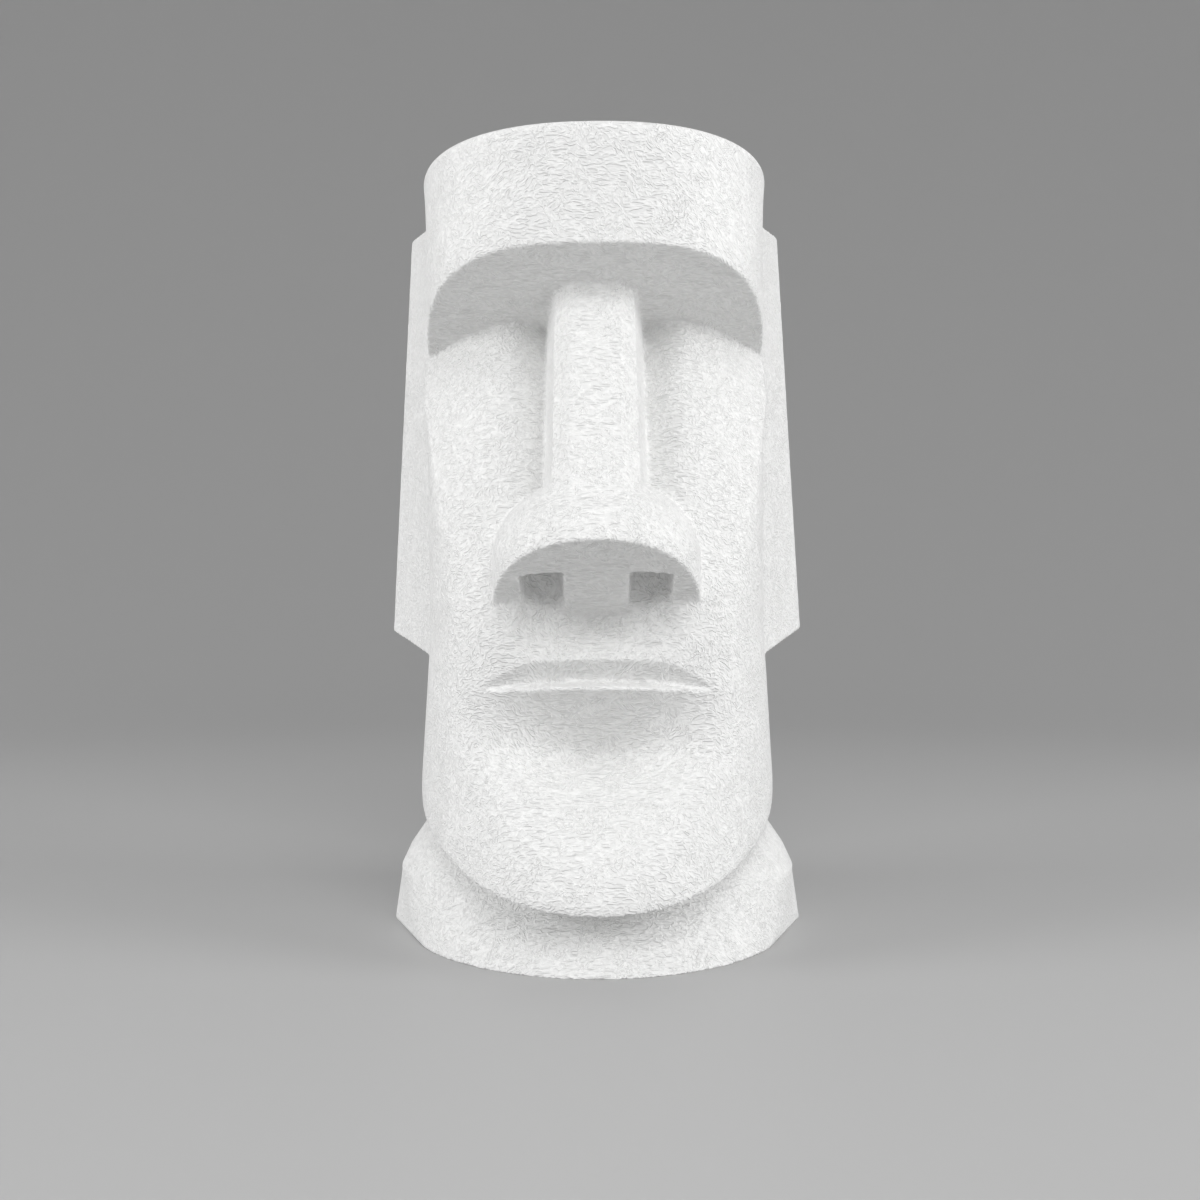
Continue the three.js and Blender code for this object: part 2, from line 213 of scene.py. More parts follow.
class NoseSizes(PropertyGroup):
    """Sizes of the nose, in millimetres."""

    top_y: length("Ridge top front", "Front of the ridge where it leaves the brow", -55.8)
    top_z: length("Ridge top height", "Height at which the ridge leaves the brow", 200)
    lean: factor("Ridge lean", "Forward slope of the ridge", 0.4576)
    top_flat: length("Ridge flat, top", "Half-width of the flat of the ridge at the top", 7.0)
    low_flat: length("Ridge flat, low", "Half-width of the flat of the ridge at the tip", 7.8)
    low_z: length("Ridge low height", "Height at which the low half-width holds", 134)
    chamfer: length("Ridge chamfer", "Width of the chamfers beside the flat", 4.8)
    flare: factor("Ridge flare", "Spread of the sides towards the face", 0.13)
    tip_y: length("Tip centre", "Centre of the domed tip", -60)
    tip_z: length("Tip spring", "Height from which the tip's dome springs", 118)
    tip_width: length("Tip half-width", "Half-width across the wings", 30.4)
    tip_front: length("Tip reach", "Centre of the tip to its front", 36.3)
    tip_height: length("Tip height", "Rise of the dome", 24.5)
    edge_y: length("Edge front", "Front of the edge of the nose's underside", -95.6)
    edge_z: length("Edge height", "Height of the front of that edge", 122.2)
    edge_fall: factor("Underside fall", "Drop of the underside towards the face", 0.53)
    nostril_inner: length("Nostril inner end", "Middle line to the inner end of a nostril", 7)
    nostril_outer: length("Nostril outer end", "Middle line to the outer end of a nostril", 22)
    nostril_front: length("Nostril front", "Front edge of a nostril", -80)
    nostril_back: length("Nostril back", "Where the roof of a nostril comes back to the underside", -60)
    nostril_rise: length("Nostril rise", "Height of the roof over the front edge", 18)
    nostril_bow: length("Nostril bow", "How far the front edge falls back at the outer end", 2.5)
    septum_half: length("Septum half-width", "Half-width of the bar between the nostrils", 9.1)
    septum_flare: factor("Septum flare", "Spread of the bar as it goes in", 0.29)


class EarSizes(PropertyGroup):
    """Sizes of the ears, in millimetres."""

    root_x: length("Root", "Middle line to the buried root", 46)
    root_y: length("Root front", "Front of the buried root", -6)
    front_x: length("Face start, across", "Middle line to the front of the face", 53.6)
    front_y: length("Face start", "Where the face leaves the head", -14)
    outer_y: length("Outer edge", "Where the face ends", 19)
    back_y: length("Back", "Back of the slab", 27)
    edge: length("Outer chamfer", "Chamfer along the outer edge", 1.6)
    top_out: length("Reach, top", "Middle line to the outer edge at the top", 63.2)
    top_outer: length("Top, outer", "Height of the outer end of the top", 231)
    top_inner: length("Top, inner", "Height of the inner end of the top", 227.2)
    low_out: length("Reach, low", "Middle line to the outer edge at the bottom", 70.4)
    low_outer: length("Bottom, outer", "Height of the outer end of the bottom", 95.8)
    low_inner: length("Bottom, inner", "Height of the inner end of the bottom", 87.6)


class BaseSizes(PropertyGroup):
    """Sizes of the base, in millimetres."""

    width: length("Arc half-width", "Half-width of the ellipse of the front arc on the floor", 62.3)
    front: length("Front", "Axis to the front of the arc", 81.6)
    back: length("Back", "Axis to the back of the base", 68)
    corner: length("Corner", "Half-width where the side facets end on the floor", 67.3)
    facet_start: length("Facet start", "Where a facet leaves the front arc", -44)


class CastSettings(PropertyGroup):
    """Mesh density, and the finish of the cast surface."""

    voxel: length("Grain of the mesh", "Cell of the remesh that welds the forms", 0.6)
    soften: IntProperty(name="Softening", description="Smoothing passes over the arrises", default=5)
    triangles: IntProperty(name="Triangles", description="Triangles of the finished casting", default=190000)
    plaster: FloatVectorProperty(name="Plaster", description="Colour of the cast plaster",
                                 subtype="COLOR", size=4, min=0, max=1, default=(0.85, 0.85, 0.845, 1))
    roughness: factor("Roughness", "Roughness of the cast plaster", 0.9)
    strand: length("Strand spacing", "Spacing across one family of strands", 1.0)
    strand_length: factor("Strand length", "Length of a strand over its spacing", 2.5)
    crest: factor("Crest", "Half-width of a strand's crest, as a share of the noise", 0.2)
    waviness: factor("Waviness", "Bending of the strands", 0.5)
    relief: length("Relief", "Height of the strands", 0.24)
    # Painted shade: share by which the colour in the grooves between the strands is darkened, standing in
    # for the shade that falls there.
    painted_groove_shade: factor("Groove", "Share by which the grooves between the strands are darker", 0.1)
    patch: length("Patch", "Size of the patches in which the strands change their direction", 9.0)


class StageSettings(PropertyGroup):
    """Floor, camera and lamps; lengths in metres."""

    floor: FloatVectorProperty(name="Floor", description="Colour of the floor",
                               subtype="COLOR", size=4, min=0, max=1, default=(0.46, 0.46, 0.46, 1))
    right_lamp: FloatProperty(name="Right lamp", description="Power of the lamp on the right",
                              default=8.4, unit="POWER")
    left_lamp: FloatProperty(name="Left lamp", description="Power of the lamp on the left",
                             default=8.8, unit="POWER")
    front_lamp: FloatProperty(name="Front lamp", description="Power of the lamp in front",
                             default=3.6, unit="POWER")
    room: FloatProperty(name="Room", description="Radius of the cove", default=2.4, unit="LENGTH")
    wall: FloatProperty(name="Wall", description="Height of the cove's wall", default=2.6, unit="LENGTH")
    cove: FloatProperty(name="Cove", description="Radius of the bend from floor to wall",
                        default=1.6, unit="LENGTH")
    sky: factor("Studio light", "Strength of the even light from all around", 0.7)
    distance: FloatProperty(name="Camera distance", description="Camera to the axis of the head",
                            default=0.5, unit="LENGTH")
    eye: FloatProperty(name="Camera height", description="Height of the level camera",
                       default=0.106, unit="LENGTH")
    lens: FloatProperty(name="Lens", description="Focal length", default=45, unit="CAMERA")
    shift: factor("Shift", "Sideways shift that frames the statue", 0.0025)


# ---- arithmetic of the forms -----------------------------------------------------------------

def along(stations, z):
    """Monotone cubic through (height, value) stations, held level past both ends.

    Each inner tangent is the harmonic mean of the two secants, or nought where they disagree.
    """
    knots, values = np.asarray(stations, float).T
    secant = np.diff(values) / np.diff(knots)
    both = secant[:-1] * secant[1:]
    total = np.where(both > 0, secant[:-1] + secant[1:], 1)
    inner = np.where(both > 0, 2 * both / total, 0)
    tangent = np.concatenate([secant[:1], inner, secant[-1:]])
    z = np.clip(z, knots[0], knots[-1])
    i = np.clip(np.searchsorted(knots, z, side="right") - 1, 0, len(knots) - 2)
    step = knots[i + 1] - knots[i]
    t = (z - knots[i]) / step
    rise = t * t * (3 - 2 * t)
    leave = t * (1 - t) ** 2
    arrive = t * t * (1 - t)
    bent = step * (leave * tangent[i] - arrive * tangent[i + 1])
    return (1 - rise) * values[i] + rise * values[i + 1] + bent


def smooth_max(a, b, span):
    """The larger of a and b, with the corner between them rounded by a parabola over span."""
    near = np.maximum(span - np.abs(a - b), 0) / span
    return np.maximum(a, b) + near * near * span / 4


def signed_power(value, power):
    """Power of the size of a value, with its sign kept."""
    return np.sign(value) * np.abs(value) ** power


def plan(z, width, front, back, square, back_square=BACK_SQUARE, count=288):
    """Rings of a superellipse at heights z, counter-clockwise from above.

    x = width * cos^(2/n) and y = depth * sin^(2/n), with its own depth and exponent n for the
    front half and for the back half. All arguments but the last two may vary with z.
    """
    angle = np.linspace(0, 2 * np.pi, count, endpoint=False)[None, :]
    z, width, front, back, square = (np.broadcast_to(value, np.shape(z))[:, None]
                                     for value in (z, width, front, back, square))
    sine = np.sin(angle)
    behind = sine > 0
    power = 2 / np.where(behind, back_square, square)
    x = width * signed_power(np.cos(angle), power)
    y = np.where(behind, back, front) * signed_power(sine, power)
    return np.stack([x, y, z + 0 * x], axis=-1)


def face_depth(x, z):
    """Depth y of the face at (x, z).

    The cheek pads stand furthest forward at PAD_PEAK from the middle. Outside it they turn back
    by a power law, inside it they fall to the valley beside the nose or rise to the chin, and
    under the lip a hollow with softly rounded sides is taken out.
    """
    across = np.abs(x)
    outside = np.maximum(across - PAD_PEAK, 0) / PAD_REACH
    inside = np.maximum(1 - (across / PAD_PEAK) ** 2, 0)
    middle = np.maximum(1 - (across / along(HOLLOW_WIDTH, z)) ** 2, 0) ** HOLLOW_POWER
    return (along(PAD_DEPTH, z) + along(PAD_TURN, z) * outside ** PAD_POWER
            + along(VALLEY, z) * inside ** 2 + along(HOLLOW_DEPTH, z) * middle)


# ---- closed bodies ---------------------------------------------------------------------------

def body(name, vertices, starts, corners):
    """A mesh object from whole arrays: vertices in millimetres, face starts and face corners."""
    mesh = bpy.data.meshes.new(name)
    mesh.vertices.add(len(vertices))
    mesh.vertices.foreach_set("co", (vertices * MM).astype(np.float32).ravel())
    mesh.loops.add(len(corners))
    mesh.loops.foreach_set("vertex_index", corners.astype(np.int32))
    mesh.polygons.add(len(starts))
    mesh.polygons.foreach_set("loop_start", starts.astype(np.int32))
    mesh.update(calc_edges=True)
    piece = bpy.data.objects.new(name, mesh)
    bpy.context.scene.collection.objects.link(piece)
    return piece


def loft(name, rings):
    """Closed body carried through an array of rings (ring, point, xyz), flat at both ends."""
    rows, count, _ = rings.shape
    here = np.arange(count)
    there = (here + 1) % count
    row = (np.arange(rows - 1) * count)[:, None]
    quads = np.stack([row + here, row + there, row + there + count, row + here + count],
                     axis=-1).reshape(-1)
    corners = np.concatenate([quads, here[::-1], (rows - 1) * count + here])
    sides = np.arange((rows - 1) * count) * 4
    starts = np.concatenate([sides, [len(quads), len(quads) + count]])
    return body(name, rings.reshape(-1, 3), starts, corners)


def brick(name, low, high, place=Matrix.Identity(4)):
    """Box between two corners, in millimetres, moved by place."""
    (x0, y0, z0), (x1, y1, z1) = low, high
    ring = np.array([[x0, y0], [x1, y0], [x1, y1], [x0, y1]], float)
    rings = np.stack([np.column_stack([ring, np.full(4, z)]) for z in (z0, z1)])
    moved = rings.reshape(-1, 3) @ np.array(place.to_3x3()).T + np.array(place.translation)
    return loft(name, moved.reshape(2, 4, 3))


def under(name, y, z, slope):
    """Everything under the plane through (y, z) that climbs by slope towards +Y."""
    turn = Matrix.Translation((0, y, z)) @ Matrix.Rotation(math.atan(slope), 4, "X")
    return brick(name, (-CUTTER, -CUTTER, -CUTTER_DEPTH), (CUTTER, CUTTER, 0), turn)


def carve(piece, operation, *tools):
    """Puts one modifier on the piece for each tool: UNION joins, DIFFERENCE cuts, INTERSECT keeps."""
    for tool in tools:
        step = piece.modifiers.new(operation.title(), "BOOLEAN")
        step.operation = operation
        step.solver = "MANIFOLD"
        step.object = tool
    return piece


# ---- the forms -------------------------------------------------------------------------------

def skull(sizes):
    """The column of the head: superellipse rings, ending in the quarter-round rim of the crown."""
    wall = np.linspace(SKULL_FOOT, sizes.height - sizes.crown_fillet, SKULL_ROWS)
    turn = np.linspace(0, np.pi / 2, RIM_ROWS)[1:]
    z = np.concatenate([wall, sizes.height - sizes.crown_fillet * (1 - np.sin(turn))])
    inset = np.concatenate([np.zeros(len(wall)), sizes.crown_fillet * (1 - np.cos(turn))])
    return loft("skull", plan(z, along(SKULL_WIDTH, z) - inset, along(SKULL_FRONT, z) - inset,
                              along(SKULL_BACK, z) - inset, along(SKULL_SQUARE, z)))


def face(sizes):
    """The face and jaw: rings whose front follows face_depth wherever that lies deeper."""
    z = np.linspace(*FACE_ENDS, FACE_ROWS)[:, None]
    width = along(FACE_WIDTH, z)
    power = along(FACE_SQUARE, z)
    x = -width * np.cos(np.linspace(0, np.pi, FACE_COLUMNS))[None, :]
    edge = np.maximum(1 - np.abs(x / width) ** power, 0) ** (1 / power)
    y = smooth_max(-along(FACE_FRONT, z) * edge, face_depth(x, z), along(FACE_BLEND, z))
    front = np.stack([x, y, z + 0 * x], axis=-1)
    root = np.array([1, -1])[None, :] * FACE_ROOT_SHARE * width
    back = np.stack([root, 0 * root + FACE_ROOT_Y, z + 0 * root], axis=-1)
    piece = loft("face", np.concatenate([front, back], axis=1))
    jaw = under("below_jaw", sizes.jaw_y, sizes.jaw_z, sizes.jaw_rise)
    return carve(piece, "DIFFERENCE", jaw, mouth(sizes))


def mouth(sizes):
    """The slit: triangles across the face, apex inside, whose depth falls off as a power of x."""
    t = np.linspace(-1, 1, MOUTH_ROWS)
    x = t * sizes.mouth_half
    depth = sizes.mouth_depth * (1 - np.abs(t) ** sizes.mouth_power)
    y = face_depth(x, np.full_like(x, sizes.mouth_z)) + depth
    z = sizes.mouth_z - sizes.mouth_droop * t * t
    return loft("mouth", np.stack([
        np.stack([x, y, z], axis=-1),
        np.stack([x, y - MOUTH_FORWARD, z + sizes.mouth_upper * MOUTH_FORWARD], axis=-1),
        np.stack([x, y - MOUTH_FORWARD, z - sizes.mouth_lower * MOUTH_FORWARD], axis=-1),
    ], axis=1))


def ridge(nose):
    """The ridge: a flat between two chamfers, and sides that flare into the face."""
    z = np.array([nose.low_z - RIDGE_PAST, nose.top_z + RIDGE_OVER])
    front = nose.top_y - nose.lean * (nose.top_z - z)
    flat = nose.top_flat + (nose.low_flat - nose.top_flat) * (nose.top_z - z) / (nose.top_z - nose.low_z)
    side = flat + nose.chamfer
    side_y = front + nose.chamfer
    root = side - side_y * nose.flare
    x = np.stack([flat, side, root, -root, -side, -flat], axis=1)
    y = np.stack([front, side_y, 0 * z, 0 * z, side_y, front], axis=1)
    return loft("ridge", np.stack([x, y, z[:, None] + 0 * x], axis=-1))


def tip(nose):
    """The tip: a quarter-ellipsoid dome on an elliptical wall."""
    angle = np.linspace(0, np.pi / 2, TIP_ROWS)[:-1]
    z = np.concatenate([[nose.tip_z - TIP_WALL], nose.tip_z + nose.tip_height * np.sin(angle)])
    scale = np.concatenate([[1], np.cos(angle)])
    reach = nose.tip_front * scale
    rings = plan(z, nose.tip_width * scale, reach, reach, TIP_SQUARE, 2, TIP_COLUMNS)
    return loft("tip", rings + np.array([0, nose.tip_y, 0]))


def nostril(nose, side):
    """One nostril: sections across x, with a steep front and a roof that bends down to the back.

    The roof's rise falls off as a fourth power towards the outer end, where the front edge bows
    back, and a leaning wall keeps the nostril off the septum.
    """
    t = np.linspace(0, 1, NOSTRIL_ROWS)
    x = (nose.nostril_inner + (nose.nostril_outer - nose.nostril_inner) * t)[:, None]
    front = nose.nostril_front + nose.nostril_bow * t ** NOSTRIL_POWER
    roof = nose.nostril_rise * (1 - t ** NOSTRIL_POWER)
    bend = front + NOSTRIL_BEND * (nose.nostril_back - front)
    y = np.stack([front + NOSTRIL_LEAN * roof, front, nose.nostril_back + 0 * t, bend], axis=1)
    rise = np.stack([roof, NOSTRIL_BELOW + 0 * t, NOSTRIL_SKIN + 0 * t, NOSTRIL_BEND_RISE * roof],
                    axis=1)
    z = nose.edge_z - nose.edge_fall * (y - nose.edge_y) + rise
    rings = np.stack([side * x + 0 * y, y, z], axis=-1)
    pocket = loft("nostril", rings if side > 0 else rings[:, ::-1])
    drop = nose.edge_fall * (nose.nostril_back - nose.edge_y)
    place = (Matrix.Translation((0, nose.nostril_back, nose.edge_z - drop))
             @ Matrix.Rotation(-math.atan(nose.edge_fall), 4, "X"))
    turn = Matrix.Rotation(side * math.atan(nose.septum_flare), 4, "Y")
    low, high = sorted((0, side * SEPTUM_REACH))
    wall = brick("septum_side", (low, -SEPTUM_REACH, -SEPTUM_HALF), (high, SEPTUM_REACH, SEPTUM_HALF),
                 place @ Matrix.Translation((side * nose.septum_half, 0, 0)) @ turn)
    return carve(pocket, "INTERSECT", wall)


def ear(sizes, side):
    """One ear: a slab with a swept face, sloping ends and a chamfered outer edge."""
    t = np.linspace(0, 1, EAR_ROWS)
    out = sizes.low_out + (sizes.top_out - sizes.low_out) * t
    inner = sizes.low_inner + (sizes.top_inner - sizes.low_inner) * t
    outer = sizes.low_outer + (sizes.top_outer - sizes.low_outer) * t
    still = np.ones_like(t)
    x = np.stack([sizes.root_x * still, sizes.front_x * still, out - EAR_EDGE_OUT * sizes.edge, out,
                  out - sizes.edge, sizes.root_x * still], axis=1)
    y = np.array([sizes.root_y, sizes.front_y, sizes.outer_y - sizes.edge,
                  sizes.outer_y + EAR_EDGE_BACK * sizes.edge, sizes.back_y,
                  sizes.back_y + EAR_ROOT_BACK])[None, :] + 0 * x
    slope = ((outer - inner) / (sizes.outer_y - sizes.front_y))[:, None]
    z = inner[:, None] + slope * (np.minimum(y, sizes.outer_y) - sizes.front_y)
    rings = np.stack([side * x, y, z], axis=-1)
    return loft("ear", rings if side > 0 else rings[:, ::-1])


def base(sizes):
    """The base: elliptical rings with a flat facet at each side of the front, closing on the neck."""
    shoulder_z, shoulder_x, shoulder_front, shoulder_back = SHOULDER_RINGS[0]
    t = np.linspace(0, 1, BASE_ROWS)
    width = sizes.width + (shoulder_x - sizes.width) * t
    front = sizes.front + (shoulder_front - sizes.front) * t
    back = sizes.back + (shoulder_back - sizes.back) * t
    corner = (sizes.corner + (shoulder_x - sizes.corner) * t)[:, None]
    start = (sizes.facet_start * (1 - t))[:, None]
    start_x = width[:, None] * np.sqrt(1 - (start / front[:, None]) ** 2)
    low = plan(shoulder_z * t, width, front, back, 2, 2)
    x, y = low[..., 0].copy(), low[..., 1]
    share = np.clip(y / np.minimum(start, -TINY), 0, 1)
    facet = np.sign(x) * (corner + (start_x - corner) * share)
    low[..., 0] = np.where(y > 0, x * corner / width[:, None], np.where(y > start, facet, x))
    high = np.concatenate([plan(np.array([float(height)]), wide, ahead, behind, 2, 2)
                           for height, wide, ahead, behind in SHOULDER_RINGS[1:]])
    return loft("base", np.concatenate([low, high]))


# ---- the casting -----------------------------------------------------------------------------

def lean(points, sizes):
    """Leans the upper head by a shift and a roll that fade in with height."""
    x, _, z = points.T
    t = np.clip((z - sizes.lean_from) / (sizes.lean_full - sizes.lean_from), 0, 1)
    share = t * t * (3 - 2 * t)
    moved = points.copy()
    moved[:, 0] -= sizes.lean_shift * np.maximum(z - sizes.lean_from, 0) * share
    moved[:, 2] += sizes.lean_roll * x * share
    return moved


def finished(piece, name):
    """A new mesh with the piece's modifiers applied."""
    bpy.context.view_layer.update()
    graph = bpy.context.evaluated_depsgraph_get()
    mesh = bpy.data.meshes.new_from_object(piece.evaluated_get(graph))
    mesh.name = name
    return mesh


def points_of(mesh):
    """Vertex places of a mesh, in metres."""
    flat = np.empty(len(mesh.vertices) * 3, np.float32)
    mesh.vertices.foreach_get("co", flat)
    return flat.reshape(-1, 3).astype(float)


def put_points(mesh, points):
    """Writes vertex places back into a mesh."""
    mesh.vertices.foreach_set("co", points.astype(np.float32).ravel())
    mesh.update()


def node(tree, kind, **settings):
    """A shader node with its properties set; inputs are given as input_Name."""
    made = tree.nodes.new(kind)
    for name, value in settings.items():
        if name.startswith("input_"):
            made.inputs[name[6:].replace("_", " ")].default_value = value
        else:
            setattr(made, name, value)
    return made


def strands(tree, place, turn, cast):
    """One family of strands: crests along the middle level of a drawn-out noise.

    turn is the Euler angle, in degrees, that lays the x axis along the strands. A crest stands
    where the noise passes its middle value, and falls off evenly with the distance from it.
    """
    cell = cast.strand * MM
    mapping = node(tree, "ShaderNodeMapping", vector_type="TEXTURE",
                   input_Rotation=[math.radians(angle) for angle in turn],
                   input_Scale=(cast.strand_length * cell, cell, cell))
    noise = node(tree, "ShaderNodeTexNoise", input_Scale=1.0, input_Detail=0.0,
                 input_Distortion=cast.waviness)
    offset = node(tree, "ShaderNodeMath", operation="SUBTRACT")
    offset.inputs[1].default_value = CREST_LEVEL
    away = node(tree, "ShaderNodeMath", operation="ABSOLUTE")
    crest = node(tree, "ShaderNodeMapRange", input_From_Min=cast.crest, input_From_Max=0.0)
    tree.links.new(place, mapping.inputs["Vector"])
    tree.links.new(mapping.outputs["Vector"], noise.inputs["Vector"])
    tree.links.new(noise.outputs["Fac"], offset.inputs[0])
    tree.links.new(offset.outputs["Value"], away.inputs[0])
    tree.links.new(away.outputs["Value"], crest.inputs["Value"])
    return crest.outputs["Result"]


def blend(tree, share, first, second, low, high):
    """The first height where share is under low, the second where it is over high, eased between."""
    ease = node(tree, "ShaderNodeMapRange", interpolation_type="SMOOTHSTEP", input_From_Min=low,
                input_From_Max=high)
    mix = node(tree, "ShaderNodeMix", data_type="FLOAT")
    tree.links.new(share, ease.inputs["Value"])
    tree.links.new(ease.outputs["Result"], mix.inputs["Factor"])
    tree.links.new(first, mix.inputs["A"])
    tree.links.new(second, mix.inputs["B"])
    return mix.outputs["Result"]


def cast_plaster(cast):
    """White plaster with a fine relief of short strands; its grooves are painted a little darker, painted
    shade for the shade that falls in them.

    The families of strands take turns in soft patches, so that the strands change their direction.
    """
    material = bpy.data.materials.new("cast_plaster")
    material.use_nodes = True
    tree = material.node_tree
    tree.nodes.clear()
    output = node(tree, "ShaderNodeOutputMaterial")
    shader = node(tree, "ShaderNodeBsdfPrincipled", input_Roughness=cast.roughness,
                  input_Specular_IOR_Level=PLASTER_SPECULAR)
    place = node(tree, "ShaderNodeTexCoord").outputs["Object"]
    patch = node(tree, "ShaderNodeTexNoise", input_Scale=1 / (cast.patch * MM), input_Detail=1.0)
    families = [strands(tree, place, turn, cast) for turn in STRAND_TURNS]
    height = families[0]
    for family, (low, high) in zip(families[1:], PATCHES):
        height = blend(tree, patch.outputs["Fac"], height, family, low, high)
    bump = node(tree, "ShaderNodeBump", input_Distance=cast.relief * MM)
    bump.inputs["Strength"].default_value = 1.0
    # Painted shade: the base colour is darkened where the strands' height is low, in the grooves between
    # them.
    painted_shade_tint = node(tree, "ShaderNodeMix", data_type="RGBA")
    colour = np.array(cast.plaster)
    shade = np.array((1 - cast.painted_groove_shade, 1 - cast.painted_groove_shade, 1 - cast.painted_groove_shade, 1))
    painted_shade_tint.inputs["A"].default_value = tuple(colour * shade)
    painted_shade_tint.inputs["B"].default_value = tuple(colour)
    for source, target in (
        (place, patch.inputs["Vector"]),
        (height, bump.inputs["Height"]),
        (height, painted_shade_tint.inputs["Factor"]),
        (painted_shade_tint.outputs["Result"], shader.inputs["Base Color"]),
        (bump.outputs["Normal"], shader.inputs["Normal"]),
        (shader.outputs["BSDF"], output.inputs["Surface"]),
    ):
        tree.links.new(source, target)
    return material


class MOAI_OT_cast_head(Operator):
    """Builds the whole casting and rides it on the body that it belongs to"""

    bl_idname = "moai.cast_head"
    bl_label = "Cast the head"

    def execute(self, context):
        scene = context.scene
        sizes, nose, cast = scene.moai_sizes, scene.moai_nose, scene.moai_cast
        before = set(bpy.data.objects)
        room = carve(under("below_brow", sizes.brow_y, sizes.brow_z, -sizes.brow_fall), "INTERSECT",
                     brick("before_face", FACE_BLOCK_LOW,
                           (FACE_BLOCK_SIDE, sizes.face_from, sizes.height)))
        below_nose = under("below_nose", nose.edge_y, nose.edge_z, -nose.edge_fall)
        snout = carve(carve(ridge(nose), "UNION", tip(nose)), "DIFFERENCE",
                      below_nose, nostril(nose, 1), nostril(nose, -1))
        rough = skull(sizes)
        carve(rough, "DIFFERENCE", room)
        carve(rough, "UNION", face(sizes), snout, ear(scene.moai_ears, 1), ear(scene.moai_ears, -1),
              base(scene.moai_base))
        mesh = finished(rough, "moai_rough")
        if len(mesh.polygons) == 0:
            raise RuntimeError("the forms of the casting did not join")
        for left in set(bpy.data.objects) - before:
            bpy.data.objects.remove(left)
        points = lean(points_of(mesh) / MM, sizes) * MM
        middle = (points.min(axis=0) + points.max(axis=0)) / 2
        put_points(mesh, points - np.array([middle[0], middle[1], points[:, 2].min()]))
        welded = bpy.data.objects.new("moai_rough", mesh)
        scene.collection.objects.link(welded)
        weld = welded.modifiers.new("Weld", "REMESH")
        weld.mode = "VOXEL"
        weld.voxel_size = cast.voxel * MM
        soften = welded.modifiers.new("Soften", "SMOOTH")
        soften.factor = SMOOTH_FACTOR
        soften.iterations = cast.soften
        dense = finished(welded, "moai_dense")
        welded.modifiers.clear()
        welded.data = dense
        thin = welded.modifiers.new("Thin", "DECIMATE")
        thin.ratio = cast.triangles / sum(len(face.vertices) - 2 for face in dense.polygons)
        statue = bpy.data.objects.new("moai_cast", finished(welded, "moai_cast"))
        bpy.data.objects.remove(welded)
        scene.collection.objects.link(statue)
        points = points_of(statue.data)
        put_points(statue.data, np.clip(points, BOX_LOW, BOX_HIGH))
        statue.data.shade_smooth()
        statue.data.materials.clear()
        statue.data.materials.append(cast_plaster(cast))
        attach(statue, "root")
        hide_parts(NODE)
        return {"FINISHED"}


# ---- the stage -------------------------------------------------------------------------------

def lamp(name, spot, axis_y, power):
    """A square soft lamp at a spot measured from the axis of the head, turned to its middle."""
    (across, before, height), size = spot
    place = (across, axis_y + before, height)
    aim = (0, axis_y, AIM_HEIGHT)
    light = bpy.data.lights.new(name, "AREA")
    light.energy = power
    light.size = size
    holder = bpy.data.objects.new(name, light)
    holder.location = place
    holder.rotation_euler = (Vector(aim) - Vector(place)).to_track_quat("-Z", "Y").to_euler()
    holder.visible_camera = False
    bpy.context.scene.collection.objects.link(holder)


def backdrop(stage):
    """The pale floor and its cove: a profile of floor, quarter-round and wall, turned about Z."""
    bend = np.linspace(0, np.pi / 2, COVE_ROWS)
    r = np.concatenate([[FLOOR_EYE], stage.room - stage.cove * (1 - np.sin(bend)), [stage.room]])
    z = np.concatenate([[0], stage.cove * (1 - np.cos(bend)), [stage.wall]])
    turn = np.linspace(0, 2 * np.pi, COVE_COLUMNS, endpoint=False)[:, None]
    points = np.stack([r * np.cos(turn), r * np.sin(turn), z + 0 * turn], axis=-1)
    rows, count, _ = points.shape
    row, place = np.meshgrid(np.arange(rows), np.arange(count - 1), indexing="ij")
    ahead = (row + 1) % rows
    quads = np.stack([row * count + place, row * count + place + 1, ahead * count + place + 1,
                      ahead * count + place], axis=-1).reshape(-1, 4)
    middle = np.arange(rows)[None, :] * count
    starts = np.concatenate([np.arange(len(quads)) * 4, [len(quads) * 4]])
    floor = body("studio_floor", points.reshape(-1, 3) / MM, starts,
                 np.concatenate([quads.ravel(), middle.ravel()]))
    floor.data.shade_smooth()
    paint = bpy.data.materials.new("studio_floor")
    paint.use_nodes = True
    shader = paint.node_tree.nodes["Principled BSDF"]
    shader.inputs["Base Color"].default_value = stage.floor
    shader.inputs["Roughness"].default_value = FLOOR_ROUGHNESS
    floor.data.materials.append(paint)


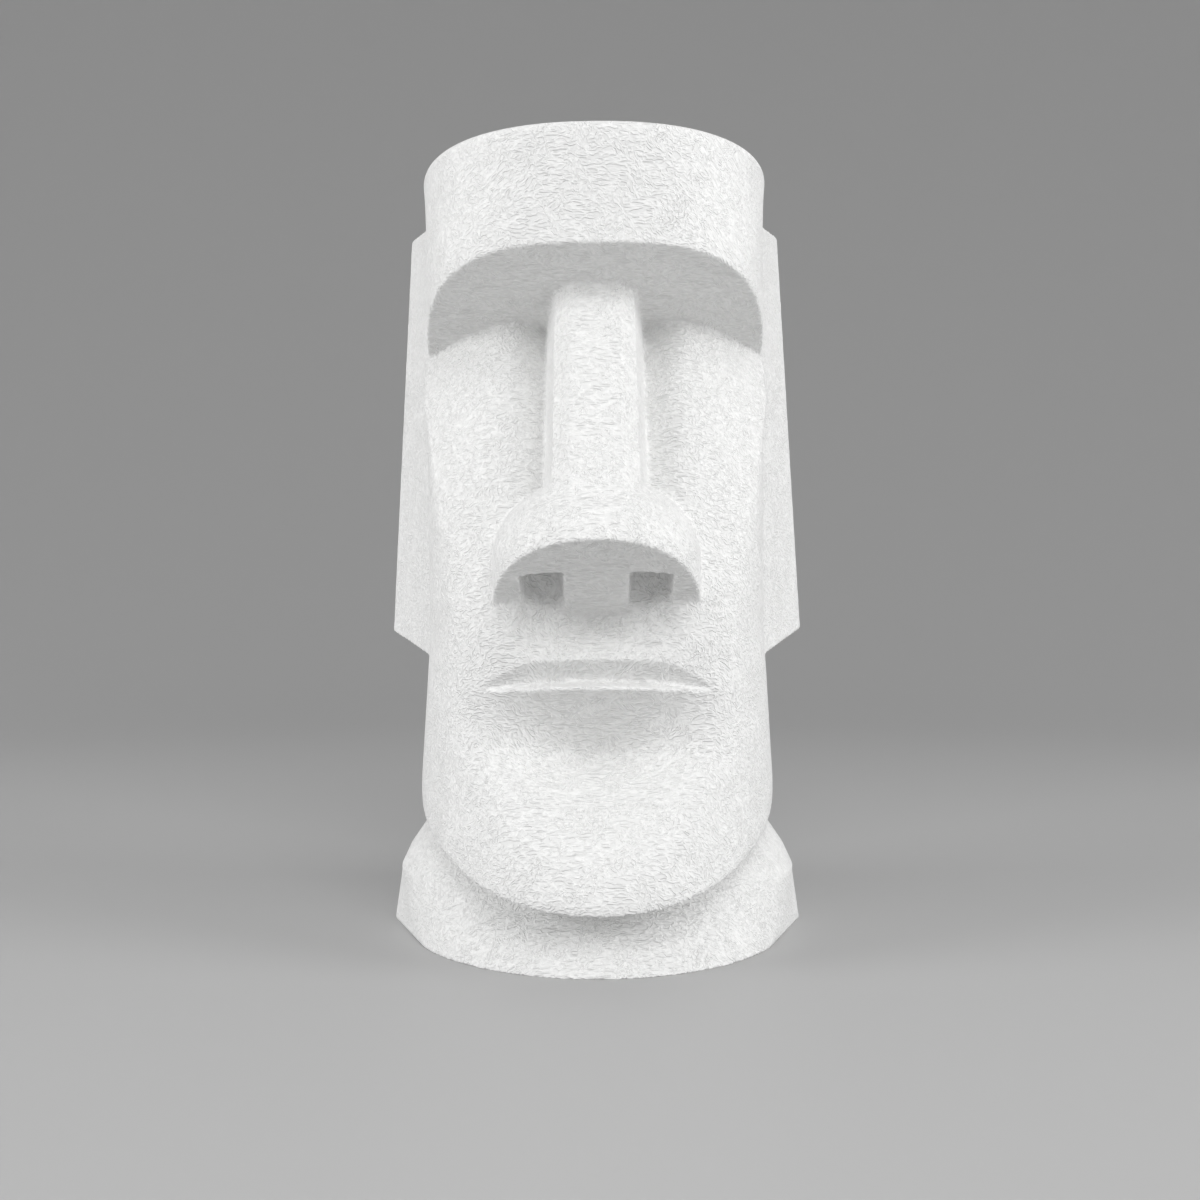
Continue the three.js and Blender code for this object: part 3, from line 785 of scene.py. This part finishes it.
class MOAI_OT_set_stage(Operator):
    """Lays the floor and sets the lamps, the backdrop and the level camera"""

    bl_idname = "moai.set_stage"
    bl_label = "Set the stage"

    def execute(self, context):
        scene = context.scene
        stage = scene.moai_stage
        axis_y = BOX_LOW[1] - scene.moai_nose.edge_y * MM
        backdrop(stage)
        lamp("right", RIGHT_LAMP, axis_y, stage.right_lamp)
        lamp("left", LEFT_LAMP, axis_y, stage.left_lamp)
        lamp("front", FRONT_LAMP, axis_y, stage.front_lamp)
        world = bpy.data.worlds.new("studio")
        world.use_nodes = True
        sky = world.node_tree.nodes["Background"]
        sky.inputs["Color"].default_value = (1, 1, 1, 1)
        sky.inputs["Strength"].default_value = stage.sky
        scene.world = world
        scene.view_settings.view_transform = "Standard"
        camera = bpy.data.cameras.new("camera")
        camera.sensor_width = SENSOR
        camera.lens = stage.lens
        camera.shift_x = stage.shift
        holder = bpy.data.objects.new("camera", camera)
        holder.location = (0, axis_y - stage.distance, stage.eye)
        holder.rotation_euler = Euler((math.pi / 2, 0, 0))
        scene.collection.objects.link(holder)
        scene.camera = holder
        return {"FINISHED"}


class MOAI_PT_panel(Panel):
    """Sidebar panel with the sizes and the two steps"""

    bl_label = "Moai"
    bl_idname = "MOAI_PT_panel"
    bl_space_type = "VIEW_3D"
    bl_region_type = "UI"
    bl_category = "Moai"

    def draw(self, context):
        for group in GROUPS:
            box = self.layout.box()
            settings = getattr(context.scene, group)
            for name in settings.bl_rna.properties.keys():
                if name not in ("rna_type", "name"):
                    box.prop(settings, name)
        self.layout.operator(MOAI_OT_cast_head.bl_idname)
        self.layout.operator(MOAI_OT_set_stage.bl_idname)


GROUPS = {
    "moai_sizes": MoaiSizes,
    "moai_nose": NoseSizes,
    "moai_ears": EarSizes,
    "moai_base": BaseSizes,
    "moai_cast": CastSettings,
    "moai_stage": StageSettings,
}
CLASSES = (*GROUPS.values(), MOAI_OT_cast_head, MOAI_OT_set_stage, MOAI_PT_panel)


def register():
    for kind in CLASSES:
        bpy.utils.register_class(kind)
    for name, kind in GROUPS.items():
        setattr(bpy.types.Scene, name, PointerProperty(type=kind))


def unregister():
    for name in GROUPS:
        delattr(bpy.types.Scene, name)
    for kind in reversed(CLASSES):
        bpy.utils.unregister_class(kind)


def main():
    register()
    bpy.ops.moai.set_stage()
    bpy.ops.moai.cast_head()


if __name__ == "__main__":
    main()
